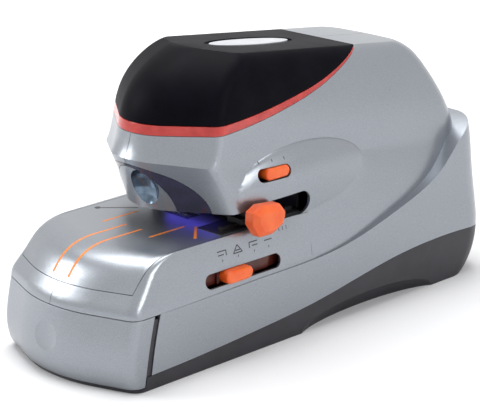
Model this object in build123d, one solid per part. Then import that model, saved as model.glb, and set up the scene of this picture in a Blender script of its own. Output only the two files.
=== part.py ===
from build123d import *
import math
import os

# Electric desk stapler for thick stacks of paper. Millimetres, +Z up, +X is the side with the
# controls, the nose points to -Y. Z = 0 is the desk, X = 0 the seam between the two shells.

# Running and seating clearances
SEAT_GAP = 0.3
SLIDE_GAP = 0.5
SEAM_GAP = 0.4
BEARING_GAP = 0.05
SHELL_WALL = 2.8
BASE_WALL = 3.0

# Plan of the lower body: nose tip, front corner, rear corner and tail
NOSE_Y = -223.0
SHOULDER_X = 74.0
SHOULDER_Y = -196.0
HIP_X = 81.0
HIP_Y = 212.0
TAIL_Y = 216.5
NOSE_RADIUS = 110.0
SHOULDER_RADIUS = 11.0
HIP_RADIUS = 28.0
FOOT_DROP = 0.0
FOOT_RADIUS = 9.0
FOOT_HEIGHT = 1.5

# Deck, nose band and throat
BAND_BOTTOM_Z = 58.0
BAND_TOP_Z = 74.0
DECK_Z = 98.0
DECK_EDGE_X = 65.5
DECK_THICKNESS = 2.4
THROAT_END_Y = -8.0
THROAT_TOP_Z = 118.0
THROAT_FLOOR_Z = 98.4
JAW_Z = 112.0

# Upper body: the top plane falls towards the tail by this angle from its height at Y = 0
TOP_HEIGHT = 223.2
TOP_FALL = 6.17
HEAD_HALF_WIDTH = 61.0

# Staple line, drive stroke and clamping lift
STAPLE_Y = -80.0
DRIVE_STROKE = 13.0

# Gear train, on axes along X
GEAR_MODULE = 1.25
CAM_TEETH = 36
IDLER_TEETH = 28
PINION_TEETH = 12
GEAR_WIDTH = 6.0
CAM_SHAFT_Z = 182.0
IDLER_ANGLE = -15.0
PINION_ANGLE = -20.0
SHAFT_RADIUS = 4.0
CAM_BASE_RADIUS = 10.0
CAM_WIDTH = 12.0

# Steel frame
FRAME_X = 24.0
FRAME_THICKNESS = 3.0
FRAME_REAR_Y = 60.0

# Shafts, pins and motor
BUSH_RADIUS = 7.0
MOTOR_SHAFT = 2.5
MOTOR_RADIUS = 17.0
CROSSBAR_RADIUS = 4.0
CROSSBARS = ((-93.0, 141.0), (-93.0, 68.0), (50.0, 30.0), (50.0, 175.0), (20.0, 130.0))

# Ram, guide and blade
CAM_LEAD = 0.75
RAM_X = 12.0
RAM_Y = 6.0
RAM_FLANGE_X = 21.0
RAM_FLANGE_THICKNESS = 5.0
RAM_BOTTOM_Z = 141.5
GUIDE_TOP_Z = 148.0
GUIDE_BOTTOM_Z = 134.0
BLADE_X = 6.4

# Clincher arm on its pin, anvil and lifting link
ARM_PIVOT = (40.0, 76.0)
ARM_PIN_RADIUS = 3.0
ARM_X = 10.0
ARM_HALF_HEIGHT = 6.0
ANVIL_X = 14.0
ANVIL_Y = 5.0
LINK_X = -16.0
LINK_THICKNESS = 3.0
LINK_Y = 11.0

# Pull-out staple cartridge
CARTRIDGE_X = 17.0
MAGAZINE_Z = 114.6
MAGAZINE_TOP_Z = 127.4
MAGAZINE_REAR_Y = -14.0
STRIP_LENGTH = 35.0
PUSHER_LENGTH = 8.0
PUSHER_TRAVEL = 12.0
ARCH_WIDTH = 51.0
ARCH_HEIGHT = 38.0
FACE_WIDTH = 29.0
FACE_HEIGHT = 36.0

# Controls on the right-hand wall
KNOB_X = 73.2
KNOB_Y = -65.0
RAIL_X = 52.0
RAIL_SIZE = 4.0
SELECTOR_Y = -83.0
SELECTOR_Z = 68.5
SELECTOR_LENGTH = 80.0
SELECTOR_HEIGHT = 11.5
SELECTOR_PLATE_X = 66.4
SELECTOR_REST_Y = SELECTOR_Y - 8.0
MODE_Y = -45.0
MODE_Z = 137.5
MODE_LENGTH = 33.0
MODE_HEIGHT = 10.5
MODE_TRAVEL = 6.0
MODE_PLATE_X = 56.0

# Drawer for clippings
DRAWER_LENGTH = 108.0
DRAWER_HALF_WIDTH = 56.0
DRAWER_BOTTOM_Z = 8.0
DRAWER_TOP_Z = 50.0
DRAWER_WALL = 2.2
BAY_WIDTH = 5.0

# Top button
BUTTON_Y = -4.0
BUTTON_LENGTH = 86.0
BUTTON_WIDTH = 24.0

# Throat lining, light and paper flag
LINER_X = 58.0
LINER_THICKNESS = 1.8
LED_HALF_WIDTH = 28.0
FLAG_X = 6.0
FLAG_PIVOT = (-4.0, 118.0)

# Guide lines on the deck
GUIDE_WIDTH = 2.2
GUIDE_X = 8.7
OUTER_GUIDE_X = 27.0
CORNER_Y = -62.0
COVER_X = 64.0

# Screws and feet
SCREW_YS = (-66.0, 160.0)
SCREW_X = 64.0
SCREW_RADIUS = 2.0
FOOT_X = 55.0
FOOT_YS = (-165.0, 184.0)

# Finger recesses and the sockets in the rear wall of the base
GRIP_X = 84.0
GRIP_Y = 58.0
GRIP_SIZE = (20.0, 86.0, 17.0)
GRIP_WALL = 2.4
INLET_X = -34.0
INLET_WIDTH = 30.0
INLET_HEIGHT = 19.0
ROCKER_X = 26.0
ROCKER_Y = 206.0
ROCKER_WIDTH = 22.0
ROCKER_HEIGHT = 14.0
ROCKER_TILT = 8.0
REAR_Z = 24.0
REAR_INSIDE_Y = 196.0

# Side-view curves (Y, Z): ledge round the skirt, top of the base, both edges of the light ring
# and the rear edge of the drawer face
LEDGE = [(-240, 57.8), (-150, 57.9), (-60, 59.5), (30, 64), (92, 79.5), (150, 103.5), (180, 128),
         (205, 139), (240, 141)]
BASE_EDGE = [(-240, 11), (-150, 12), (-66, 17), (0, 23.5), (85, 37.5), (150, 42), (240, 35)]
RING_BOTTOM = [(-160, 173.2), (-99, 174.3), (-58, 177.5), (-22, 183), (26, 194.5), (60, 208), (84, 219)]
RING_TOP = [(-160, 181), (-99, 181.6), (-58, 184), (-22, 188.5), (26, 198), (60, 209.7), (84, 219.6)]
DRAWER_EDGE = [(-186, 0), (-184.8, 9), (-181.3, 32.5), (-175.9, 57), (-174, 64)]

# Places that follow from the sizes above
FLOOR_Z = FOOT_DROP + BASE_WALL
FACE_BOTTOM_Z = FLOOR_Z + SLIDE_GAP
RAM_TOP_Z = CAM_SHAFT_Z - CAM_BASE_RADIUS - CAM_LEAD - SEAT_GAP
STRIP_Y = STAPLE_Y + 0.8
PUSHER_Y = STRIP_Y + STRIP_LENGTH + SEAT_GAP
MODE_REST_Y = MODE_Y + MODE_TRAVEL / 2
LINER_Z = JAW_Z + 0.6

FAR = 300.0


def side_face(points):
    """Closed straight-sided face in the YZ plane."""
    return Plane.YZ * make_face(Polyline(*points, close=True))


def side_prism(face, half_width=FAR):
    return extrude(face, amount=half_width, both=True)


def above_curve(points, ceiling=FAR):
    """Everything above a smooth side-view curve."""
    curve = Spline(*points)
    first, last = points[0], points[-1]
    rim = Polyline(last, (last[0], ceiling), (first[0], ceiling), first)
    return side_prism(Plane.YZ * make_face([curve, *rim.edges()]))


def slab(x0, x1, y0, y1, z0, z1):
    """Box from its lowest to its highest corner."""
    centre = Pos((x0 + x1) / 2, (y0 + y1) / 2, (z0 + z1) / 2)
    return centre * Box(x1 - x0, y1 - y0, z1 - z0)


def x_cylinder(radius, x0, x1, y, z):
    """Cylinder on an axis along X."""
    return Pos((x0 + x1) / 2, y, z) * Rot(0, 90, 0) * Cylinder(radius, x1 - x0)


def plan_face(tip_y, shoulder, hip, tail_y, radii):
    """Plan outline with a pointed nose, two shoulders, two hips and a crowned tail."""
    tip_radius, shoulder_radius, hip_radius = radii
    corners = [
        (0, tip_y),
        shoulder,
        hip,
        (0, tail_y),
        (-hip[0], hip[1]),
        (-shoulder[0], shoulder[1]),
    ]
    rounding = [tip_radius, shoulder_radius, hip_radius, 200, hip_radius, shoulder_radius]
    return make_face(FilletPolyline(*corners, radius=rounding, close=True))


def lower_form(inset=0.0):
    """Skirt: plan outlines stacked up from the desk to the height of the ledge."""
    # height, nose setback, side setback, tail setback
    stations = [
        (FOOT_DROP, -3.0, 2.5, 17.0),
        (12.0, 3.5, 1.8, 6.0),
        (30.0, 4.5, 0.7, 0.0),
        (BAND_BOTTOM_Z, -1.5, -0.4, 2.0),
        (95.0, -1.5, 0.9, 8.0),
        (148.0, -1.5, 6.5, 20.0),
    ]
    sections = []
    for height, nose_in, side_in, tail_in in stations:
        face = plan_face(
            NOSE_Y - nose_in + 1.1 * inset,
            (SHOULDER_X - 0.4 * side_in - inset, SHOULDER_Y - nose_in + inset),
            (HIP_X - side_in - inset, HIP_Y - tail_in - inset),
            TAIL_Y + 1 - tail_in - inset,
            (NOSE_RADIUS - inset, SHOULDER_RADIUS - inset, HIP_RADIUS - inset),
        )
        lift = inset if height == FOOT_DROP else 0
        sections.append(Pos(0, 0, height + lift) * face)
    return loft(sections)


def tilted(distance):
    """Plane parallel to the top of the cap, this far above it (below when negative)."""
    angle = math.radians(TOP_FALL)
    normal = Vector(0, math.sin(angle), math.cos(angle))
    return Plane(Vector(0, 0, TOP_HEIGHT) + normal * distance, x_dir=(1, 0, 0), z_dir=normal)


def along_top(y, distance):
    """Run along a tilted plane that reaches the upright position y."""
    angle = math.radians(TOP_FALL)
    return y / math.cos(angle) - distance * math.tan(angle)


def upper_form(inset=0.0):
    """Head, neck and tail: plan outlines stacked down from the top plane."""
    # depth, nose tip, nose slope, shoulder and hip narrower than the head, hip Y, rounding
    stations = [
        (0.0, -80.0, 0.50, 20.0, 20.0, 134.0, (42, 11, 14)),
        (5.0, -91.5, 0.56, 13.2, 13.7, 145.0, (42, 13, 18)),
        (14.5, -108.0, 0.62, 8.2, 9.0, 157.0, (42, 14, 22)),
        (35.0, -130.0, 0.70, 3.0, 4.0, 175.0, (42, 13, 25)),
        (64.0, -141.0, 0.731, 0.0, -1.0, 193.0, (42, 11, 28)),
        (83.0, -148.0, 0.731, -0.5, -3.0, 200.0, (42, 11, 28)),
        (118.0, -133.0, 0.731, -6.0, -11.5, 203.0, (42, 13, 28)),
        (167.0, -118.0, 0.60, -13.8, -19.5, 203.0, (42, 16, 28)),
    ]
    sections = []
    for depth, tip, slope, shoulder_in, hip_in, hip_y, radii in stations:
        shoulder_x = HEAD_HALF_WIDTH - shoulder_in - inset
        hip_x = HEAD_HALF_WIDTH - hip_in - inset
        tip_in = tip + inset * math.hypot(1, slope)
        level = -depth - (inset if depth < 20 else 0)
        run = [along_top(y, level) for y in (tip_in, tip_in + slope * shoulder_x, hip_y - inset)]
        face = plan_face(
            run[0],
            (shoulder_x, run[1]),
            (hip_x, run[2]),
            run[2] + 5,
            [radius - inset for radius in radii],
        )
        sections.append(tilted(level) * face)
    brow = 6
    return loft(sections[:brow]) + loft(sections[brow - 1:])


def deck_form(inset=0.0):
    """Nose and deck: plan outlines stacked from the drawer's top edge to the flat deck."""
    # height, nose tip, shoulder X and Y, half-width at the throat
    stations = [
        (BAND_BOTTOM_Z - 0.5, NOSE_Y + 1.5, SHOULDER_X, SHOULDER_Y + 1.5, 77.0),
        (BAND_TOP_Z, -215.0, 70.5, -186.0, 74.0),
        (84.0, -210.0, 68.5, -178.0, 72.5),
        (92.0, -199.0, 67.0, -170.0, 70.8),
        (96.5, -185.0, 66.0, -160.0, 69.8),
        (DECK_Z, -170.0, DECK_EDGE_X, -150.0, 69.3),
    ]
    sections = []
    for height, tip, shoulder_x, shoulder_y, rear_x in stations:
        face = plan_face(
            tip + 1.1 * inset,
            (shoulder_x - inset, shoulder_y + inset),
            (rear_x - inset, 30),
            31,
            (NOSE_RADIUS - inset, SHOULDER_RADIUS - inset, 2),
        )
        drop = inset if height > BAND_TOP_Z else 0
        sections.append(Pos(0, 0, height - drop) * face)
    return loft(sections)


def ellipsoid(centre, half_axes):
    """Ball of radius 1 stretched along the three axes."""
    return Pos(*centre) * scale(Sphere(1), by=half_axes)


def raised(points, lift):
    return [(y, z + lift) for y, z in points]


def shifted(points, shift):
    return [(y + shift, z) for y, z in points]


def ahead_of(points):
    """Everything in front of a nearly upright side-view curve."""
    curve = Spline(*points)
    first, last = points[0], points[-1]
    rim = Polyline(last, (-FAR, last[1]), (-FAR, first[1]), first)
    return side_prism(Plane.YZ * make_face([curve, *rim.edges()]))


def throat_form(grow=0.0):
    """Open throat between deck and head, with a round end."""
    radius = (THROAT_TOP_Z - THROAT_FLOOR_Z) / 2 + grow
    centre_y = THROAT_END_Y - (THROAT_TOP_Z - THROAT_FLOOR_Z) / 2
    centre_z = (THROAT_TOP_Z + THROAT_FLOOR_Z) / 2
    mouth = side_face([
        (-FAR, THROAT_FLOOR_Z - grow),
        (centre_y, THROAT_FLOOR_Z - grow),
        (centre_y, THROAT_TOP_Z + grow),
        (-50, THROAT_TOP_Z - 1 + grow),
        (-86, JAW_Z + grow),
        (-FAR, JAW_Z + grow),
    ])
    return side_prism(mouth) + x_cylinder(radius, -FAR, FAR, centre_y, centre_z)


def cheek(side, inset=0.0):
    """Soft bulge on the head wall above the throat slot."""
    half_axes = (13 - inset, 80 - inset, 35 - inset)
    return ellipsoid((side * 59.5, -10, 120), half_axes)


def arch(half_width, height, y0, y1):
    """Pointed arch opening in the face below the brow, from the jaw line up."""
    steps = 5
    points = []
    for i in range(steps + 1):
        turn = math.radians(90 * i / steps)
        points.append((half_width * math.cos(turn), height * math.sin(turn)))
    left = [(-x, z) for x, z in reversed(points[:-1])]
    curve = Spline(*points, *left)
    foot = Polyline((-half_width, 0), (-half_width, -20), (half_width, -20), (half_width, 0))
    face = make_face([curve, *foot.edges()])
    return extrude(Plane((0, y0, JAW_Z), x_dir=(1, 0, 0), z_dir=(0, -1, 0)) * face, amount=y0 - y1)


def wall_slot(length, height, y, z, x0, x1):
    """Round-ended slot through the right-hand wall."""
    face = Plane((x0, y, z), x_dir=(0, 1, 0), z_dir=(1, 0, 0)) * SlotOverall(length, height)
    return extrude(face, amount=x1 - x0)


def top_slot(length, width, y, depth0, depth1):
    """Long oval seen from above, cut square to the top plane between two depths."""
    face = tilted(-depth1) * Pos(0, along_top(y, 0)) * Ellipse(width / 2, length / 2)
    return extrude(face, amount=depth1 - depth0)


def line_prism(x0, y0, x1, y1, width):
    """Upright prism over a straight line on the deck."""
    run = math.hypot(x1 - x0, y1 - y0)
    turn = math.degrees(math.atan2(y1 - y0, x1 - x0))
    centre = Pos((x0 + x1) / 2, (y0 + y1) / 2, BAND_TOP_Z)
    return centre * Rot(0, 0, turn) * extrude(SlotOverall(run, width), amount=FAR)


# Shared forms, each made once
upper = upper_form()
upper_inside = upper_form(SHELL_WALL)
lower = lower_form()
lower_inside = lower_form(SHELL_WALL)
deck = deck_form()
deck_inside = deck_form(DECK_THICKNESS)
throat = throat_form()


def body_shell():
    """Both silver shells in one piece, before they are split down the middle."""
    head = upper + cheek(1) + cheek(-1)
    hollow = upper_inside + cheek(1, SHELL_WALL) + cheek(-1, SHELL_WALL)
    head = head - hollow
    head -= side_prism(side_face([(-FAR, JAW_Z), (THROAT_END_Y, JAW_Z), (THROAT_END_Y, 0), (-FAR, 0)]))
    head &= above_curve(LEDGE)
    head -= above_curve(RING_BOTTOM)
    skirt = lower - lower_inside
    ledge = (lower - upper_inside) & (above_curve(raised(LEDGE, -2.6)) - above_curve(LEDGE))
    ledge -= lower_form(5.0) & slab(-FAR, FAR, -FAR, -20, 0, FAR)
    ledge -= ahead_of(shifted(DRAWER_EDGE, BAY_WIDTH))
    skirt = (skirt - above_curve(LEDGE)) & above_curve(raised(BASE_EDGE, SEAM_GAP))
    skirt -= ahead_of(shifted(DRAWER_EDGE, BAY_WIDTH))
    nose = (deck - deck_inside) & above_curve(LEDGE) & slab(-FAR, FAR, -FAR, THROAT_END_Y + 4, 0, FAR)
    nose -= slab(-COVER_X, COVER_X, -FAR, FAR, BAND_TOP_Z, FAR)
    return head + skirt + ledge + nose


def control_openings():
    """Holes through the right-hand wall for the selector and the mode slide."""
    selector = wall_slot(SELECTOR_LENGTH, SELECTOR_HEIGHT, SELECTOR_Y, SELECTOR_Z, 55, 95)
    mode = wall_slot(MODE_LENGTH, MODE_HEIGHT, MODE_Y, MODE_Z, 50, 95)
    return selector + mode


def screw_posts():
    """Screw posts that hang from the skirt wall down to the floor of the base."""
    post_radius = 5.0
    posts = []
    for side in (-1, 1):
        for y in SCREW_YS:
            post = Pos(side * SCREW_X, y, 31) * Cylinder(post_radius, 2 * (31 - FLOOR_Z))
            web = slab(min(side * SCREW_X, side * 78), max(side * SCREW_X, side * 78), y - 1, y + 1, 45, 56)
            bore = Pos(side * SCREW_X, y, 12) * Cylinder(SCREW_RADIUS + 0.05, 24)
            posts.append((post + web) & lower - bore)
    return posts


def body_shells():
    """Silver right and left shells with their throat, slots and screw posts."""
    whole = body_shell() - throat - arch(ARCH_WIDTH, ARCH_HEIGHT, -60, -FAR)
    whole -= control_openings()
    for post in screw_posts():
        whole += post
    half_seam = SEAM_GAP / 2
    right = whole & slab(half_seam, FAR, -FAR, FAR, 0, FAR)
    left = whole & slab(-FAR, -half_seam, -FAR, FAR, 0, FAR)
    return right, left


def base_tray():
    """Black base with finger recesses, foot seats and the frame of the drawer bay."""
    tray = lower - lower_form(BASE_WALL) - above_curve(BASE_EDGE)
    bay = ahead_of(shifted(DRAWER_EDGE, SEAM_GAP))
    tray -= bay & slab(-FAR, FAR, -FAR, FAR, FLOOR_Z, FAR)
    strip = (lower_form(0.9) - lower_form(BASE_WALL + 1)) & ahead_of(shifted(DRAWER_EDGE, BAY_WIDTH - SEAM_GAP))
    tray += (strip & above_curve(BASE_EDGE)) - bay - above_curve(raised(LEDGE, -3.2))
    bowl_size = tuple(half_axis + GRIP_WALL for half_axis in GRIP_SIZE)
    for side in (-1, 1):
        tray += ellipsoid((side * GRIP_X, GRIP_Y, 0), bowl_size) & lower_form(1.0)
        tray -= ellipsoid((side * GRIP_X, GRIP_Y, 0), GRIP_SIZE)
        for y in FOOT_YS:
            tray -= Pos(side * FOOT_X, y, FOOT_DROP) * Cylinder(FOOT_RADIUS + 0.1, 2 * FOOT_HEIGHT)
        for y in SCREW_YS:
            tray -= Pos(side * SCREW_X, y, FOOT_DROP) * Cylinder(SCREW_RADIUS + 0.05, 20)
            tray -= Pos(side * SCREW_X, y, FOOT_DROP) * Cylinder(4.1, 3)
    tray -= rear_openings()
    for x, y in frame_screw_spots():
        tray -= Pos(x, y, FLOOR_Z) * Cylinder(SCREW_RADIUS + 0.05, 4)
    return tray


def rear_openings():
    inlet = slab(INLET_X - INLET_WIDTH / 2, INLET_X + INLET_WIDTH / 2, REAR_INSIDE_Y, FAR,
                 REAR_Z - INLET_HEIGHT / 2, REAR_Z + INLET_HEIGHT / 2)
    rocker = slab(ROCKER_X - ROCKER_WIDTH / 2, ROCKER_X + ROCKER_WIDTH / 2, REAR_INSIDE_Y, FAR,
                  REAR_Z - ROCKER_HEIGHT / 2, REAR_Z + ROCKER_HEIGHT / 2)
    return inlet + rocker


def frame_screw_spots():
    spots = []
    for side in (-1, 1):
        for y in (16, FRAME_REAR_Y - 10):
            spots.append((side * (FRAME_X + 11), y))
    return spots


def rubber_feet():
    feet = []
    for side in (-1, 1):
        for y in FOOT_YS:
            foot = Pos(side * FOOT_X, y, FOOT_HEIGHT / 2) * Cylinder(FOOT_RADIUS, FOOT_HEIGHT)
            feet.append(chamfer(foot.edges().group_by(Axis.Z)[0], 0.4))
    return Compound(children=feet)


def deck_cover():
    """Silver deck with grooves for the guide lines and a window for the anvil."""
    cover = (deck - deck_inside) & slab(-COVER_X + SEAM_GAP, COVER_X - SEAM_GAP, -FAR,
                                        THROAT_END_Y - 3, BAND_TOP_Z + SEAM_GAP, FAR)
    window = slab(-ANVIL_X - 1.5, ANVIL_X + 1.5, STAPLE_Y - ANVIL_Y - 2, STAPLE_Y + ANVIL_Y + 2, 90, 110)
    cover -= window
    for line in guide_plan(0.05):
        cover -= line
    return cover


def guide_plan(grow=0.0):
    """Upright prisms over every guide line on the deck."""
    width = GUIDE_WIDTH + 2 * grow
    lines = []
    for side in (-1, 1):
        lines.append(line_prism(side * GUIDE_X, -203, side * GUIDE_X, -129, width))
        lines.append(line_prism(side * OUTER_GUIDE_X, -138, side * OUTER_GUIDE_X, -101, width))
        lines.append(line_prism(side * 54, CORNER_Y - 54, side * 33, CORNER_Y - 33, width))
    return lines


def guide_lines():
    skin = deck - deck_inside
    return Compound(children=[solid for line in guide_plan() for solid in (skin & line).solids()])


def cap():
    """Black lid above the light ring, with an oval well for the top button."""
    lid = (upper - upper_form(2.4)) & above_curve(raised(RING_TOP, SEAT_GAP))
    lid -= top_slot(BUTTON_LENGTH + 8, BUTTON_WIDTH + 8, BUTTON_Y, -20, 1.2)
    lid -= top_slot(BUTTON_LENGTH + 1, BUTTON_WIDTH + 1, BUTTON_Y, -20, 40)
    return lid


def light_ring():
    """Translucent red ring between the lid and the shells, tapering to the rear."""
    band = (upper - upper_form(3.4)) & above_curve(raised(RING_BOTTOM, SEAT_GAP))
    return band - above_curve(RING_TOP)


def staple_button():
    """Oval button on the top, its stem and the collar that keeps it in."""
    button = top_slot(BUTTON_LENGTH, BUTTON_WIDTH, BUTTON_Y, 0.2, 3.2)
    button += top_slot(BUTTON_WIDTH * 0.4, BUTTON_WIDTH * 0.4, BUTTON_Y, 3.0, 9.0)
    return button


def button_carrier():
    """Open tray under the lid that carries the button, its spring and its switch."""
    tray = top_slot(BUTTON_LENGTH + 12, BUTTON_WIDTH + 14, BUTTON_Y, 2.7, 17.0)
    tray -= top_slot(BUTTON_LENGTH + 4, BUTTON_WIDTH + 6, BUTTON_Y, 0, 15.0)
    return tray


def button_spring():
    spring = top_slot(18, 18, BUTTON_Y, 3.5, 14.7) - top_slot(15, 15, BUTTON_Y, 0, 20)
    return spring


def button_switch():
    """Small switch under the rear end of the button's stem."""
    return top_slot(8, 8, BUTTON_Y, 12.5, 14.7)


def gear(teeth, width, bore_radius):
    """Spur gear in the XY plane with straight-flanked teeth, resting on Z = 0."""
    pitch = GEAR_MODULE * teeth / 2
    tip = pitch + GEAR_MODULE
    root = pitch - 1.25 * GEAR_MODULE
    pitch_angle = 360 / teeth
    points = []
    for i in range(teeth):
        centre = i * pitch_angle
        for radius, share in ((root, -0.33), (tip, -0.11), (tip, 0.11), (root, 0.33)):
            angle = math.radians(centre + share * pitch_angle)
            points.append((radius * math.cos(angle), radius * math.sin(angle)))
    blank = extrude(make_face(Polyline(*points, close=True)), amount=width)
    return blank - Pos(0, 0, width / 2) * Cylinder(bore_radius, 2 * width)


def on_x_axis(shape, x, y, z, turn=0.0):
    """Stand a piece made along Z onto an axis along +X, turned from +Y towards +Z."""
    return Plane((x, y, z), x_dir=(0, 1, 0), z_dir=(1, 0, 0)) * Rot(0, 0, turn) * shape


def centre_distance(teeth_a, teeth_b):
    return GEAR_MODULE * (teeth_a + teeth_b) / 2


CAM_AXIS = (STAPLE_Y, CAM_SHAFT_Z)
IDLER_REACH = centre_distance(CAM_TEETH, IDLER_TEETH)
IDLER_AXIS = (
    CAM_AXIS[0] + IDLER_REACH * math.cos(math.radians(IDLER_ANGLE)),
    CAM_AXIS[1] + IDLER_REACH * math.sin(math.radians(IDLER_ANGLE)),
)
PINION_REACH = centre_distance(IDLER_TEETH, PINION_TEETH)
PINION_AXIS = (
    IDLER_AXIS[0] + PINION_REACH * math.cos(math.radians(PINION_ANGLE)),
    IDLER_AXIS[1] + PINION_REACH * math.sin(math.radians(PINION_ANGLE)),
)
GEAR_X = FRAME_X + FRAME_THICKNESS + 1.0
SHAFT_END_X = GEAR_X + GEAR_WIDTH + 1.0


def frame_plate(side):
    """C-shaped steel side plate with its bearing holes and a screw foot."""
    outline = [
        (-98, 124), (4, 124), (4, 90), (-98, 90), (-98, 63), (4, 63), (4, FLOOR_Z),
        (FRAME_REAR_Y, FLOOR_Z), (FRAME_REAR_Y, 186), (20, 200), (-98, 200),
    ]
    inner = side * FRAME_X
    outer = side * (FRAME_X + FRAME_THICKNESS)
    face = Plane((min(inner, outer), 0, 0), x_dir=(0, 1, 0), z_dir=(1, 0, 0)) * make_face(
        Polyline(*outline, close=True))
    plate = extrude(face, amount=FRAME_THICKNESS)
    foot_x = side * (FRAME_X + 18)
    plate += slab(min(inner, foot_x), max(inner, foot_x), 6, FRAME_REAR_Y, FLOOR_Z,
                  FLOOR_Z + FRAME_THICKNESS)
    for y, z in (CAM_AXIS, IDLER_AXIS, PINION_AXIS) if side > 0 else (CAM_AXIS,):
        plate -= x_cylinder(BUSH_RADIUS, min(inner, outer) - 1, max(inner, outer) + 1, y, z)
    y, z = ARM_PIVOT
    plate -= x_cylinder(ARM_PIN_RADIUS, min(inner, outer) - 1, max(inner, outer) + 1, y, z)
    for y, z in CROSSBARS:
        plate -= x_cylinder(2.5, min(inner, outer) - 1, max(inner, outer) + 1, y, z)
    for x, y in frame_screw_spots():
        plate -= Pos(x, y, FLOOR_Z) * Cylinder(SCREW_RADIUS + 0.05, 20)
    return plate


def crossbars():
    bars = []
    for y, z in CROSSBARS:
        bar = x_cylinder(CROSSBAR_RADIUS, -FRAME_X, FRAME_X, y, z)
        bar += x_cylinder(2.5, -FRAME_X - FRAME_THICKNESS, FRAME_X + FRAME_THICKNESS, y, z)
        bars.append(bar)
    return Compound(children=bars)


def bushes():
    """Plain bearings for the cam shaft, pressed into both side plates."""
    y, z = CAM_AXIS
    rings = []
    for side in (-1, 1):
        inner = side * FRAME_X
        outer = side * (FRAME_X + FRAME_THICKNESS)
        ring = x_cylinder(BUSH_RADIUS, min(inner, outer), max(inner, outer), y, z)
        ring -= x_cylinder(SHAFT_RADIUS + BEARING_GAP, -FAR, FAR, y, z)
        rings.append(ring)
    return Compound(children=rings)


def cam_shaft():
    y, z = CAM_AXIS
    return x_cylinder(SHAFT_RADIUS, -FRAME_X - FRAME_THICKNESS - 2, SHAFT_END_X, y, z)


def drive_cam():
    """Disc cam whose radius grows at a steady rate over half a turn."""
    steps = 18
    rise = DRIVE_STROKE
    points = []
    for i in range(steps + 1):
        angle = math.radians(180 * i / steps)
        radius = CAM_BASE_RADIUS + rise * i / steps
        points.append((radius * math.cos(angle), radius * math.sin(angle)))
    last = points[-1]
    flank = Spline(*points)
    back = ThreePointArc(last, (0, -CAM_BASE_RADIUS * 0.9), points[0])
    disc = extrude(make_face([flank, back]), amount=CAM_WIDTH)
    disc -= Cylinder(SHAFT_RADIUS, 4 * CAM_WIDTH)
    return disc


def cam_phase():
    """Turn each gear so that a tooth of one faces a gap of the next."""
    cam_turn = IDLER_ANGLE
    idler_turn = IDLER_ANGLE + 180 + 180 / IDLER_TEETH
    pitch_angle = 360 / IDLER_TEETH
    lead = (idler_turn - PINION_ANGLE) % pitch_angle
    pinion_turn = PINION_ANGLE + 180 - lead * IDLER_TEETH / PINION_TEETH + 180 / PINION_TEETH
    return cam_turn, idler_turn, pinion_turn


def cam_gear():
    return on_x_axis(gear(CAM_TEETH, GEAR_WIDTH, SHAFT_RADIUS), GEAR_X, *CAM_AXIS, cam_phase()[0])


def idler_gear():
    bore = SHAFT_RADIUS + BEARING_GAP
    return on_x_axis(gear(IDLER_TEETH, GEAR_WIDTH, bore), GEAR_X, *IDLER_AXIS, cam_phase()[1])


def pinion():
    return on_x_axis(gear(PINION_TEETH, GEAR_WIDTH, MOTOR_SHAFT), GEAR_X, *PINION_AXIS, cam_phase()[2])


def motor_shaft():
    return x_cylinder(MOTOR_SHAFT, FRAME_X - 14, SHAFT_END_X, *PINION_AXIS)


def drive_motor():
    can = x_cylinder(MOTOR_RADIUS, -FRAME_X + 3, FRAME_X, *PINION_AXIS)
    can += x_cylinder(BUSH_RADIUS - 0.1, FRAME_X, FRAME_X + FRAME_THICKNESS, *PINION_AXIS)
    can += x_cylinder(8, -FRAME_X, -FRAME_X + 3, *PINION_AXIS)
    return can - x_cylinder(MOTOR_SHAFT + BEARING_GAP, FRAME_X - 14.3, FAR, *PINION_AXIS)


def idler_stub():
    stub = x_cylinder(SHAFT_RADIUS, FRAME_X, SHAFT_END_X, *IDLER_AXIS)
    return stub + x_cylinder(BUSH_RADIUS, FRAME_X, FRAME_X + FRAME_THICKNESS, *IDLER_AXIS)


def ram():
    y0, y1 = STAPLE_Y - RAM_Y, STAPLE_Y + RAM_Y
    block = slab(-RAM_X, RAM_X, y0, y1, RAM_BOTTOM_Z, RAM_TOP_Z)
    return block + slab(-RAM_FLANGE_X, RAM_FLANGE_X, y0, y1, RAM_TOP_Z - RAM_FLANGE_THICKNESS, RAM_TOP_Z)


def driver_blade():
    return slab(-BLADE_X, BLADE_X, STAPLE_Y - 0.5, STAPLE_Y + 0.5, MAGAZINE_TOP_Z + 0.8, RAM_BOTTOM_Z)


def ram_guide():
    guide = slab(-FRAME_X, FRAME_X, STAPLE_Y - 9, STAPLE_Y + 12, GUIDE_BOTTOM_Z, GUIDE_TOP_Z)
    return guide - slab(-RAM_X - SEAT_GAP, RAM_X + SEAT_GAP, STAPLE_Y - RAM_Y - SEAT_GAP,
                        STAPLE_Y + RAM_Y + SEAT_GAP, 0, FAR)


def return_springs():
    springs = []
    length = RAM_TOP_Z - RAM_FLANGE_THICKNESS - GUIDE_TOP_Z - 2 * SEAT_GAP
    for side in (-1, 1):
        middle = Pos(side * 17, STAPLE_Y, GUIDE_TOP_Z + SEAT_GAP + length / 2)
        springs.append(middle * (Cylinder(3.4, length) - Cylinder(2.4, length)))
    return Compound(children=springs)


def clincher_arm():
    """Steel lever under the deck that lifts the anvil and clamps the stack."""
    pivot_y, pivot_z = ARM_PIVOT
    arm = slab(-ARM_X, ARM_X, STAPLE_Y - 6, pivot_y + 8, pivot_z - ARM_HALF_HEIGHT, pivot_z + ARM_HALF_HEIGHT)
    arm += x_cylinder(2.0, LINK_X - 1.5, -ARM_X, LINK_Y, pivot_z)
    return arm - x_cylinder(ARM_PIN_RADIUS + BEARING_GAP, -FAR, FAR, *ARM_PIVOT)


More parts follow.
